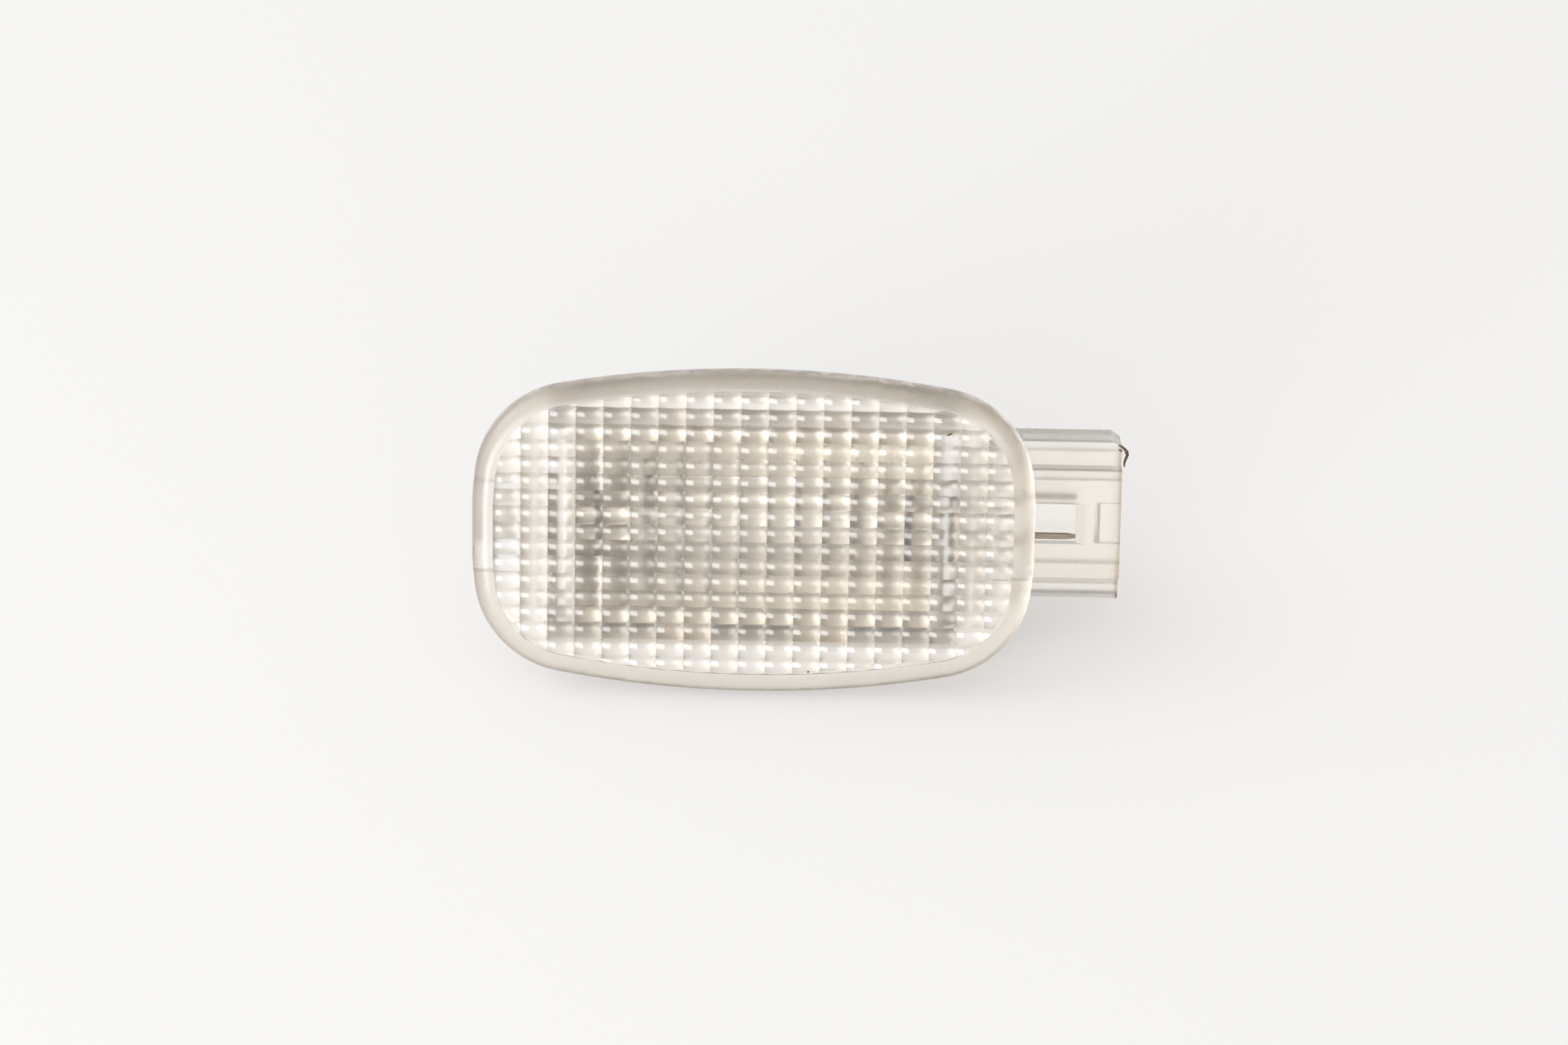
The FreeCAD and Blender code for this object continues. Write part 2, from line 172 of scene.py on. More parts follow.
def revolve(shape: Mesh, profile: Sequence[Point], axis_y: float, steps: int) -> None:
    """Turn a closed profile about an axis along X.

    Args:
        shape: Mesh that takes the new faces.
        profile: Closed outline as (x, radius) points, each with a radius above zero.
        axis_y: Place of the axis along Y.
        steps: Number of faces round the axis.
    """
    rings = [add_ring(shape, Vector((x, axis_y, 0)), Vector((0, radius, 0)), Vector((0, 0, radius)), steps)
             for x, radius in profile]
    for one, other in zip(rings, rings[1:] + rings[:1]):
        bridge(shape, one, other)


def arc(centre: Point, radius: float, start: float, end: float, steps: int) -> list[Point]:
    """Points of a circular arc.

    Args:
        centre: Centre of the arc.
        radius: Its radius.
        start: First angle in degrees.
        end: Last angle in degrees.
        steps: Number of stretches.

    Returns:
        The points from the first angle to the last.
    """
    angles = [math.radians(start + (end - start) * step / steps) for step in range(steps + 1)]
    return [(centre[0] + radius * math.cos(a), centre[1] + radius * math.sin(a)) for a in angles]


def direction(azimuth: float, elevation: float) -> Vector:
    """Unit direction from the lens.

    Args:
        azimuth: Degrees to the right of the lens's normal.
        elevation: Degrees above it.

    Returns:
        The direction.
    """
    a = math.radians(azimuth)
    e = math.radians(elevation)
    return Vector((math.sin(a) * math.cos(e), -math.cos(a) * math.cos(e), math.sin(e)))


def feed(tree: Tree, target: Socket, value: object) -> None:
    """Link a socket to an input, or set a plain value on it.

    Args:
        tree: Tree that holds the input.
        target: The input.
        value: A socket, a colour or another plain value.
    """
    if isinstance(value, Socket):
        tree.links.new(value, target)
    elif target.type == "RGBA":
        target.default_value = (*value, 1.0)
    else:
        target.default_value = value


def add_node(tree: Tree, kind: str, inputs: Inputs | None = None, **settings: object) -> bpy.types.Node:
    """Add a node to a tree.

    Args:
        tree: Tree that takes the node.
        kind: Type of the node.
        inputs: Name or number of an input to the value or the socket that feeds it.
        settings: Attributes of the node.

    Returns:
        The new node.
    """
    node = tree.nodes.new(kind)
    for name, value in settings.items():
        setattr(node, name, value)
    for name, value in (inputs or {}).items():
        feed(tree, node.inputs[name], value)
    return node


def add_math(tree: Tree, operation: str, *values: float | Socket, clamp: bool = False) -> Socket:
    """Add a calculation.

    Args:
        tree: Tree that takes the node.
        operation: What is done with the values.
        values: Numbers or the sockets that give them.
        clamp: Whether the result is kept between 0 and 1.

    Returns:
        The socket of the result.
    """
    node = add_node(tree, "ShaderNodeMath", dict(enumerate(values)), operation=operation, use_clamp=clamp)
    return node.outputs["Value"]


def add_noise(tree: Tree, place: Socket, scale: float | Socket, detail: float = 2.0) -> Socket:
    """Add soft noise.

    Args:
        tree: Tree that takes the node.
        place: Where on the piece it is read.
        scale: How fine it is.
        detail: How many finer layers it has.

    Returns:
        The socket of its value.
    """
    node = add_node(tree, "ShaderNodeTexNoise", {"Vector": place, "Scale": scale, "Detail": detail})
    return node.outputs["Fac"]


def add_range(tree: Tree, value: Socket, span: Sequence[float | Socket],
              result: Sequence[float | Socket] = (0.0, 1.0)) -> Socket:
    """Stretch a value from one range to another and keep it there.

    Args:
        tree: Tree that takes the node.
        value: The value.
        span: Lowest and highest value that count.
        result: What they become.

    Returns:
        The socket of the result.
    """
    limits = dict(zip(("From Min", "From Max", "To Min", "To Max"), (*span, *result)))
    return add_node(tree, "ShaderNodeMapRange", {"Value": value, **limits}, clamp=True).outputs["Result"]


def object_place(tree: Tree) -> Socket:
    """Add the place on the piece, in metres."""
    return add_node(tree, "ShaderNodeTexCoord").outputs["Object"]


class Shader:
    """A material's nodes, with short ways to add and join them."""

    def __init__(self, name: str) -> None:
        """Start a material with one Principled BSDF.

        Args:
            name: Name of the material.
        """
        self.material = bpy.data.materials.new(name)
        self.material.use_nodes = True
        self.tree = self.material.node_tree
        self.surface = self.tree.nodes["Principled BSDF"]
        self.output = self.tree.nodes["Material Output"]

    def add(self, kind: str, inputs: Inputs | None = None, **settings: object) -> bpy.types.Node:
        """Add a node with its inputs and its own settings."""
        return add_node(self.tree, kind, inputs, **settings)

    def effect(self, group: Tree, **values: float) -> bpy.types.Node:
        """Place a shared effect with its own values, with _ for a space in a name."""
        inputs = {name.replace("_", " "): value for name, value in values.items()}
        return self.add("ShaderNodeGroup", inputs, node_tree=group)

    def set(self, **values: object) -> None:
        """Feed the Principled BSDF's own sockets, with _ for a space in a name."""
        for name, value in values.items():
            feed(self.tree, self.surface.inputs[name.replace("_", " ")], value)

    def show(self, **shaders: Socket) -> None:
        """Join shaders to the material's outputs."""
        for name, shader in shaders.items():
            feed(self.tree, self.output.inputs[name], shader)

    def marked(self, attribute: str) -> Socket:
        """Add the mask that a mesh's own points carry."""
        return self.add("ShaderNodeAttribute", attribute_name=attribute).outputs["Fac"]

    def blend(self, mask: Socket, one: Color | Socket, other: Color | Socket) -> Socket:
        """Go from one colour to the other as the mask goes from 0 to 1."""
        mix = self.add("ShaderNodeMix", {"Factor": mask, "A": one, "B": other}, data_type="RGBA")
        return mix.outputs["Result"]

    def mix(self, share: Socket, one: Socket, other: Socket) -> Socket:
        """Go from one shader to the other as the share goes from 0 to 1."""
        return self.add("ShaderNodeMixShader", {"Fac": share, 1: one, 2: other}).outputs["Shader"]

    def bump(self, height: Socket, strength: float, rise: float) -> Socket:
        """Add the normal of a height whose full rise is given in millimetres."""
        inputs = {"Height": height, "Strength": strength, "Distance": rise * MM}
        return self.add("ShaderNodeBump", inputs).outputs["Normal"]


@dataclass
class SharedEffects:
    """Shader groups that more than one finish uses, each built once."""

    haze: Tree = field(init=False)
    lines: Tree = field(init=False)
    grime: Tree = field(init=False)
    zone: Tree = field(init=False)
    haze_detail: float = 5.0
    haze_span: Point = (0.35, 0.68)
    line_detail: float = 4.0
    line_span: Point = (0.3, 0.7)
    grime_detail: float = 6.0
    blotch_edge: float = 0.2
    speck_edge: float = 0.04

    def __post_init__(self) -> None:
        """Build the groups."""
        self.haze = self.build_haze()
        self.lines = self.build_lines()
        self.grime = self.build_grime()
        self.zone = self.build_zone()

    @staticmethod
    def start(name: str, inputs: dict[str, float], *outputs: str) -> tuple:
        """Start a group whose inputs and outputs are numbers.

        Args:
            name: Name of the group.
            inputs: Input name to default value.
            outputs: Output names.

        Returns:
            The group, the sockets that its inputs come from and those that its outputs go to.
        """
        group = bpy.data.node_groups.new(name, "ShaderNodeTree")
        for label, value in inputs.items():
            socket = group.interface.new_socket(label, in_out="INPUT", socket_type="NodeSocketFloat")
            socket.default_value = value
        for label in outputs:
            group.interface.new_socket(label, in_out="OUTPUT", socket_type="NodeSocketFloat")
        return group, group.nodes.new("NodeGroupInput").outputs, group.nodes.new("NodeGroupOutput").inputs

    def build_haze(self) -> Tree:
        """Handling haze: roughness that drifts between two values, and faint moulding waves.

        Returns:
            The group.
        """
        inputs = {"Scale": 120.0, "Low": 0.02, "High": 0.08, "Wave Scale": 60.0}
        group, entry, leave = self.start("handling_haze", inputs, "Roughness", "Height")
        place = object_place(group)
        cloud = add_noise(group, place, entry["Scale"], self.haze_detail)
        rough = add_range(group, cloud, self.haze_span, (entry["Low"], entry["High"]))
        feed(group, leave["Roughness"], rough)
        feed(group, leave["Height"], add_noise(group, place, entry["Wave Scale"]))
        return group

    def build_lines(self) -> Tree:
        """Fine drawn lines of rolled metal, as a height and a mask.

        Returns:
            The group.
        """
        inputs = {"Scale": 300.0, "Along X": 1.0, "Along Y": 40.0, "Along Z": 40.0}
        group, entry, leave = self.start("drawn_lines", inputs, "Height", "Mask")
        stretch = add_node(group, "ShaderNodeCombineXYZ", {axis: entry[f"Along {axis}"] for axis in "XYZ"})
        squeeze = add_node(group, "ShaderNodeVectorMath",
                           {0: object_place(group), 1: stretch.outputs["Vector"]}, operation="MULTIPLY")
        streak = add_noise(group, squeeze.outputs["Vector"], entry["Scale"], self.line_detail)
        feed(group, leave["Height"], streak)
        feed(group, leave["Mask"], add_range(group, streak, self.line_span))
        return group

    def build_grime(self) -> Tree:
        """Dust in blotches and small specks, as a mask.

        Returns:
            The group.
        """
        inputs = {"Scale": 200.0, "Reach": 0.6, "Speck Scale": 900.0, "Speck Reach": 0.75}
        group, entry, leave = self.start("grime", inputs, "Mask")
        place = object_place(group)
        masks = []
        for kind, edge in (("", self.blotch_edge), ("Speck ", self.speck_edge)):
            cloud = add_noise(group, place, entry[f"{kind}Scale"], self.grime_detail)
            reach = entry[f"{kind}Reach"]
            masks.append(add_range(group, cloud, (reach, add_math(group, "ADD", reach, edge))))
        feed(group, leave["Mask"], add_math(group, "MAXIMUM", *masks))
        return group

    def build_zone(self) -> Tree:
        """Zone round the middle of the lamp that reaches so far along X and Z, as a mask.

        Returns:
            The group.
        """
        group, entry, leave = self.start("zone", {"Reach X": 0.03, "Reach Z": 0.01}, "Mask")
        parts = add_node(group, "ShaderNodeSeparateXYZ", {"Vector": object_place(group)})
        within = []
        for axis in "XZ":
            away = add_math(group, "ABSOLUTE", parts.outputs[axis])
            within.append(add_math(group, "LESS_THAN", away, entry[f"Reach {axis}"]))
        feed(group, leave["Mask"], add_math(group, "MULTIPLY", *within))
        return group


@dataclass(frozen=True)
class ClearPlastic:
    """Clear moulded plastic with handling haze, a little dust, and painted shade on the rim and over the
    chamber.
    """

    name: str
    tint: Color
    dust: Color
    smooth: float
    hazy: float
    dust_reach: float
    wave: float
    ior: float = 1.585
    haze_scale: float = 90.0
    wave_scale: float = 70.0
    wave_rise: float = 1.0
    amber: Color = (0.94, 0.65, 0.34)
    amber_density: float = 12.0
    deepest_ray: float = 5.5
    shadow_tint: Color = (0.93, 0.925, 0.915)
    rim_rough: float = 0.0
    # Darker colour of the rim: painted shade.
    rim_painted_shade: Color = (0.89, 0.86, 0.82)
    rim_shadow: Color = (0.45, 0.42, 0.38)
    inside_rough: float = 0.13
    soil: Color = (0.58, 0.47, 0.36)
    soil_depth: float = 0.5
    # Darker colour over the chamber: painted shade.
    chamber_shade: Color = (0.7, 0.66, 0.605)

    def let_light_through(self, shader: Shader) -> None:
        """Let shadow, diffuse and trapped rays pass straight through, so that light reaches what lies behind.

        Args:
            shader: The material's nodes.
        """
        ray = shader.add("ShaderNodeLightPath").outputs
        trapped = add_math(shader.tree, "GREATER_THAN", ray["Ray Depth"], self.deepest_ray)
        either = add_math(shader.tree, "MAXIMUM", ray["Is Shadow Ray"], ray["Is Diffuse Ray"])
        passing = add_math(shader.tree, "MAXIMUM", either, trapped)
        shade: Color | Socket = self.shadow_tint
        if self.rim_rough:
            shade = shader.blend(shader.marked(RIM), self.shadow_tint, self.rim_shadow)
        clear = shader.add("ShaderNodeBsdfTransparent", {"Color": shade})
        shader.show(Surface=shader.mix(passing, shader.surface.outputs["BSDF"], clear.outputs["BSDF"]))

    def dull_and_shade_rim(self, shader: Shader, tint: Socket, rough: Socket) -> tuple[Socket, Socket]:
        """Make the rim duller than the front and darker with a painted shade, and the inner face duller.

        Args:
            shader: The material's nodes.
            tint: Colour of the rest.
            rough: Roughness of the rest.

        Returns:
            The sockets of the colour and the roughness to use.
        """
        rim = shader.marked(RIM)
        satin = add_math(shader.tree, "MULTIPLY_ADD", rim, self.rim_rough, rough)
        dull = add_math(shader.tree, "MULTIPLY_ADD", shader.marked(INSIDE), self.inside_rough, satin)
        # The rim's darker colour is painted shade, for the shadowed table and dark room seen through it.
        return shader.blend(rim, tint, self.rim_painted_shade), dull

    def soil_end(self, shader: Shader, tint: Socket, end: float) -> Socket:
        """Let brown dirt gather along an end face.

        Args:
            shader: The material's nodes.
            tint: Colour of the rest.
            end: Place of the end face along X, in millimetres.

        Returns:
            The socket of the colour to use.
        """
        parts = shader.add("ShaderNodeSeparateXYZ", {"Vector": object_place(shader.tree)})
        span = ((end - self.soil_depth) * MM, end * MM)
        return shader.blend(add_range(shader.tree, parts.outputs["X"], span), tint, self.soil)

    def material(self, effects: SharedEffects, end: float | None = None,
                 chamber_shade_reach: Point | None = None) -> bpy.types.Material:
        """Build the material.

        Args:
            effects: The shared shader groups.
            end: Place along X, in millimetres, of an end face that gathers dirt.
            chamber_shade_reach: How far the painted shade over the chamber reaches along X and Z, in
                millimetres.

        Returns:
            The new material.
        """
        shader = Shader(self.name)
        haze = shader.effect(effects.haze, Scale=self.haze_scale, Low=self.smooth, High=self.hazy,
                             Wave_Scale=self.wave_scale).outputs
        grime = shader.effect(effects.grime, Reach=self.dust_reach)
        color = shader.blend(grime.outputs["Mask"], self.tint, self.dust)
        rough = haze["Roughness"]
        if self.rim_rough:
            color, rough = self.dull_and_shade_rim(shader, color, rough)
        # Painted shade: a darker colour over the chamber, where shade falls inside the lamp and on the table
        # behind it.
        if chamber_shade_reach is not None:
            middle = shader.effect(effects.zone, Reach_X=chamber_shade_reach[0] * MM, Reach_Z=chamber_shade_reach[1] * MM)
            color = shader.blend(middle.outputs["Mask"], color, self.chamber_shade)
        if end is not None:
            color = self.soil_end(shader, color, end)
        shader.set(IOR=self.ior, Transmission_Weight=1.0, Base_Color=color, Roughness=rough,
                   Normal=shader.bump(haze["Height"], self.wave, self.wave_rise))
        self.let_light_through(shader)
        depth = shader.add("ShaderNodeVolumeAbsorption", {"Color": self.amber, "Density": self.amber_density})
        shader.show(Volume=depth.outputs["Volume"])
        return shader.material


@dataclass(frozen=True)
class DrawnMetal:
    """Rolled or plated metal with fine lines and dull patches."""

    name: str
    bright: Color
    dull: Color
    smooth: float
    rough: float
    lay: Lay
    depth: float = 0.2
    line_rise: float = 0.1
    haze_scale: float = 150.0
    # Reach along Z, in millimetres, past which the metal gets a painted shade; 0 for none.
    edge: float = 0.0
    flank_shade: Color = (0.55, 0.52, 0.47)

    def material(self, effects: SharedEffects) -> bpy.types.Material:
        """Build the material.

        Args:
            effects: The shared shader groups.

        Returns:
            The new material.
        """
        shader = Shader(self.name)
        along = self.lay.value
        lines = shader.effect(effects.lines, Along_X=along[0], Along_Y=along[1], Along_Z=along[2]).outputs
        haze = shader.effect(effects.haze, Scale=self.haze_scale, Low=self.smooth, High=self.rough)
        tint = shader.blend(lines["Mask"], self.bright, self.dull)
        # Painted shade: the flanks beyond the reach along Z are darker.
        if self.edge:
            middle = shader.effect(effects.zone, Reach_X=1.0, Reach_Z=self.edge * MM)
            tint = shader.blend(middle.outputs["Mask"], self.flank_shade, tint)
        shader.set(Metallic=1.0, Base_Color=tint, Roughness=haze.outputs["Roughness"],
                   Normal=shader.bump(lines["Height"], self.depth, self.line_rise))
        return shader.material


@dataclass(frozen=True)
class CakedDirt:
    """Dry brown dirt, paler in places."""

    name: str
    dark: Color
    pale: Color
    scale: float = 1500.0
    rough: float = 0.9

    def material(self) -> bpy.types.Material:
        """Build the material.

        Returns:
            The new material.
        """
        shader = Shader(self.name)
        cloud = add_noise(shader.tree, object_place(shader.tree), self.scale)
        shader.set(Base_Color=shader.blend(cloud, self.dark, self.pale), Roughness=self.rough)
        return shader.material


BURR_DIRT = CakedDirt("burr_dirt", dark=(0.035, 0.025, 0.015), pale=(0.2, 0.14, 0.08))
LENS_PLASTIC = ClearPlastic(
    "lens_plastic", tint=(0.955, 0.94, 0.918), dust=(0.89, 0.865, 0.825), smooth=0.12, hazy=0.18,
    dust_reach=0.72, wave=0.04, rim_rough=0.14, shadow_tint=(0.945, 0.935, 0.92),
    chamber_shade=(0.89, 0.865, 0.825))
HOUSING_PLASTIC = ClearPlastic(
    "housing_plastic", tint=(0.97, 0.95, 0.916), dust=(0.88, 0.855, 0.8), smooth=0.22, hazy=0.34,
    dust_reach=0.66, wave=0.06, amber=(0.4, 0.3, 0.15), amber_density=18.0,
    shadow_tint=(0.885, 0.86, 0.82))
TUBE_GLASS = ClearPlastic(
    "tube_glass", tint=(0.99, 0.99, 0.985), dust=(0.93, 0.93, 0.92), smooth=0.0, hazy=0.02,
    dust_reach=0.8, wave=0.01, ior=1.5, amber_density=0.0)
REFLECTOR_SHEET = DrawnMetal(
    "reflector_sheet", bright=(0.95, 0.935, 0.905), dull=(0.86, 0.84, 0.8), smooth=0.25, rough=0.4,
    # The reflector's flanks past 10.4 mm along Z carry a painted shade.
    lay=Lay.ALONG_X, edge=10.4)
CONTACT_METAL = DrawnMetal(
    "contact_metal", bright=(0.42, 0.38, 0.33), dull=(0.27, 0.24, 0.2), smooth=0.45, rough=0.6,
    lay=Lay.ALONG_X)
CAP_METAL = DrawnMetal(
    "cap_metal", bright=(0.62, 0.6, 0.56), dull=(0.5, 0.47, 0.43), smooth=0.18, rough=0.34,
    lay=Lay.ALONG_Y)
FILAMENT_METAL = DrawnMetal(
    "filament_metal", bright=(0.34, 0.33, 0.32), dull=(0.24, 0.23, 0.22), smooth=0.3, rough=0.45,
    lay=Lay.ALONG_X)


@dataclass
class Lens:
    """Clear front plate: domed prisms inside a rounded rim, with a shallow hollow behind."""

    half_width: float
    half_height: float
    front: float
    back: float
    long_bow: float = 4.34
    end_bow: float = 3.24
    corner_radius: float = 12.1
    rim_width: float = 2.5
    rim_round: float = 2.2
    back_round: float = 0.2
    plate_thickness: float = 2.1
    pitch_x: float = 3.2
    pitch_z: float = 2.0
    dome_radius: float = 3.4
    recess: float = 0.1
    seam: float = 0.05
    mark_slack: float = 0.01
    edge_slack: float = 1e-5
    place_digits: int = 4
    steps_x: int = 8
    steps_z: int = 6
    round_steps: int = 10
    back_steps: int = 3

    @classmethod
    def from_frame(cls) -> "Lens":
        """Take the outer sizes from the lens solid."""
        low, high = corner_of("lens")
        return cls(half_width=high.x, half_height=high.z, front=low.y, back=high.y)

    def __post_init__(self) -> None:
        """Work out the outline's arcs: long side, corner and end, each as centre and radius."""
        long_radius = (self.half_width**2 + self.long_bow**2) / (2 * self.long_bow)
        end_radius = (self.half_height**2 + self.end_bow**2) / (2 * self.end_bow)
        long_centre = Vector((0, self.half_height - long_radius))
        end_centre = Vector((self.half_width - end_radius, 0))
        span = end_centre - long_centre
        reach = long_radius - self.corner_radius
        other_reach = end_radius - self.corner_radius
        along = (reach**2 - other_reach**2 + span.length**2) / (2 * span.length)
        aside = math.sqrt(reach**2 - along**2)
        ahead = span.normalized()
        corner = long_centre + ahead * along + Vector((ahead.y, -ahead.x)) * aside
        self.long_arc = (long_centre, long_radius)
        self.end_arc = (end_centre, end_radius)
        self.corner_arc = (corner, self.corner_radius)
        to_corner = corner - long_centre
        self.long_limit = math.atan2(to_corner.x, to_corner.y)
        to_corner = corner - end_centre
        self.end_limit = math.atan2(to_corner.y, to_corner.x)

    def arc_at(self, x: float, z: float) -> tuple[Vector, float]:
        """Find the arc of the first quarter that a direction meets.

        Args:
            x: Distance from the middle along X, zero or more.
            z: Distance from the middle along Z, zero or more.

        Returns:
            Centre and radius of the arc.
        """
        from_long = Vector((x, z)) - self.long_arc[0]
        if math.atan2(from_long.x, from_long.y) < self.long_limit:
            return self.long_arc
        from_end = Vector((x, z)) - self.end_arc[0]
        if math.atan2(from_end.y, from_end.x) < self.end_limit:
            return self.end_arc
        return self.corner_arc

    def edge_point(self, x: float, z: float, inset: float) -> tuple[Vector, Vector]:
        """Move a point on to the outline.

        Args:
            x: Place of the point along X.
            z: Place of the point along Z.
            inset: How far the outline lies inside the lens's edge.

        Returns:
            The point on the outline and the outward direction there.
        """
        centre, radius = self.arc_at(abs(x), abs(z))
        outward = (Vector((abs(x), abs(z))) - centre).normalized()
        point = centre + outward * (radius - inset)
        signs = Vector((math.copysign(1, x), math.copysign(1, z)))
        return point * signs, outward * signs

    def outline(self, inset: float, steps: int = 36) -> list[Point]:
        """Outline of the lens as a convex polygon.

        Args:
            inset: How far it lies inside the lens's edge.
            steps: Number of points in a quarter.

        Returns:
            The corner points, anticlockwise.
        """
        points = []
        for step in range(4 * steps):
            angle = 2 * math.pi * step / (4 * steps)
            aim = Vector((self.half_width * math.cos(angle), self.half_height * math.sin(angle)))
            point, _ = self.edge_point(aim.x, aim.y, inset)
            points.append((point.x, point.y))
        return points

    def dome(self, x: float, z: float, face: Face) -> float:
        """Place along Y of the domes on one face.

        Args:
            x: Place along X.
            z: Place along Z.
            face: The face that the domes stand on.

        Returns:
            The place along Y.
        """
        across = x - round(x / self.pitch_x) * self.pitch_x
        upward = z - round(z / self.pitch_z) * self.pitch_z
        top = self.front + (self.recess if face is Face.FRONT else self.plate_thickness)
        sag = self.dome_radius - math.sqrt(self.dome_radius**2 - across**2 - upward**2)
        return top + face.value * sag

    @staticmethod
    def half_planes(outline: Sequence[Point]) -> np.ndarray:
        """Half-planes of a convex outline.

        Args:
            outline: The outline's corners, anticlockwise.

        Returns:
            Rows of (x, z, limit).
        """
        points = np.array(outline)
        ahead = np.roll(points, -1, axis=0) - points
        outward = np.stack([ahead[:, 1], -ahead[:, 0]], axis=1)
        outward /= np.linalg.norm(outward, axis=1, keepdims=True)
        return np.column_stack([outward, (outward * points).sum(axis=1)])

    @staticmethod
    def clip(corners: list[Point], planes: Iterable[Sequence[float]]) -> list[Point]:
        """Clip a polygon by half-planes.

        Args:
            corners: The polygon's corners.
            planes: Rows of (x, z, limit).

        Returns:
            The corners of what is left.
        """
        for nx, nz, limit in planes:
            kept = []
            for one, other in zip(corners, corners[1:] + corners[:1]):
                here = nx * one[0] + nz * one[1] - limit
                there = nx * other[0] + nz * other[1] - limit
                if here <= 0:
                    kept.append(one)
                if (here < 0 < there) or (there < 0 < here):
                    share = here / (here - there)
                    kept.append(tuple(a + share * (b - a) for a, b in zip(one, other)))
            corners = kept
        return corners

    def add_prisms(self, shape: Mesh, face: Face) -> list[Vert]:
        """Add one face's field of domes, clipped to the inside of the rim.

        Args:
            shape: Mesh that takes the faces.
            face: The face that the domes stand on.

        Returns:
            The points on the field's edge, in order round the lens.
        """
        columns = round(2 * (self.half_width - self.rim_width) / self.pitch_x)
        rows = round(2 * (self.half_height - self.rim_width) / self.pitch_z)
        count_x = columns * self.steps_x
        count_z = rows * self.steps_z
        xs = (np.arange(count_x + 1) - count_x / 2) * self.pitch_x / self.steps_x
        zs = (np.arange(count_z + 1) - count_z / 2) * self.pitch_z / self.steps_z
        planes = self.half_planes(self.outline(self.rim_width))
        spread = np.stack(np.meshgrid(xs, zs, indexing="ij"), axis=-1)
        inside = ((spread @ planes[:, :2].T) <= planes[:, 2]).all(axis=-1)
        made: dict[Point, Vert] = {}
        edge: dict[Point, Vert] = {}

        def vertex(point: Point) -> Vert:
            """Find the mesh's point at a place, made once.

            Args:
                point: Place along X and Z.

            Returns:
                The mesh's point.
            """
            key = (round(point[0], self.place_digits), round(point[1], self.place_digits))
            if key not in made:
                made[key] = shape.verts.new((point[0], self.dome(*point, face), point[1]))
            return made[key]

        for i in range(count_x):
            for j in range(count_z):
                within = inside[i:i + 2, j:j + 2]
                if not within.any():
                    continue
                ring = [(xs[i], zs[j]), (xs[i + 1], zs[j]), (xs[i + 1], zs[j + 1]), (xs[i], zs[j + 1])]
                if not within.all():
                    ring = self.clip(ring, planes)
                corners = list(dict.fromkeys(vertex(point) for point in ring))
                if len(corners) > 2:
                    shape.faces.new(corners)
                if not within.all():
                    away = np.abs(np.array(ring) @ planes[:, :2].T - planes[:, 2]).min(axis=1)
                    edge.update((p, vertex(p)) for p, gap in zip(ring, away) if gap < self.edge_slack)
        loop = sorted(set(edge.values()), key=lambda v: math.atan2(v.co.z, v.co.x))
        for vert in loop:
            point, _ = self.edge_point(vert.co.x, vert.co.z, self.rim_width)
            vert.co = (point.x, self.dome(point.x, point.y, face), point.y)
        return loop

    def rim_profile(self) -> list[Point]:
        """Section of the rim, from the front to the hollow.

        Returns:
            Points as (distance outside the prisms, y).
        """
        flat = self.rim_width - self.rim_round
        back = self.back - self.seam
        front_arc = arc((flat, self.front + self.rim_round), self.rim_round, -90, 0, self.round_steps)
        back_arc = arc((self.rim_width - self.back_round, back - self.back_round), self.back_round, 0, 90,
                       self.back_steps)
        return [(0.0, self.front), *front_arc, *back_arc, (0.0, back)]

    def build(self) -> bpy.types.Object:
        """Build the lens as one closed mesh that stands for the lens solid.

        Returns:
            The new piece.
        """
        shape = bmesh.new()
        ring = self.add_prisms(shape, Face.FRONT)
        inner_ring = self.add_prisms(shape, Face.INNER)
        ways = [self.edge_point(v.co.x, v.co.z, self.rim_width) for v in ring]
        for out, y in self.rim_profile():
            places = [point + outward * out for point, outward in ways]
            after = [shape.verts.new((place.x, y, place.y)) for place in places]
            bridge(shape, ring, after)
            ring = after
        bridge(shape, ring, inner_ring)
        mark = shape.verts.layers.float.new(RIM)
        inside = shape.verts.layers.float.new(INSIDE)
        middle = self.front + self.plate_thickness / 2
        for vert in shape.verts:
            reach, _ = self.edge_point(vert.co.x, vert.co.z, self.rim_width - self.mark_slack)
            vert[mark] = float(math.hypot(vert.co.x, vert.co.z) > reach.length)
            vert[inside] = float(not vert[mark] and vert.co.y > middle)
        piece = add_piece("lens_plate", shape, crease=15)
        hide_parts("lens")
        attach(piece, "root")
        return piece


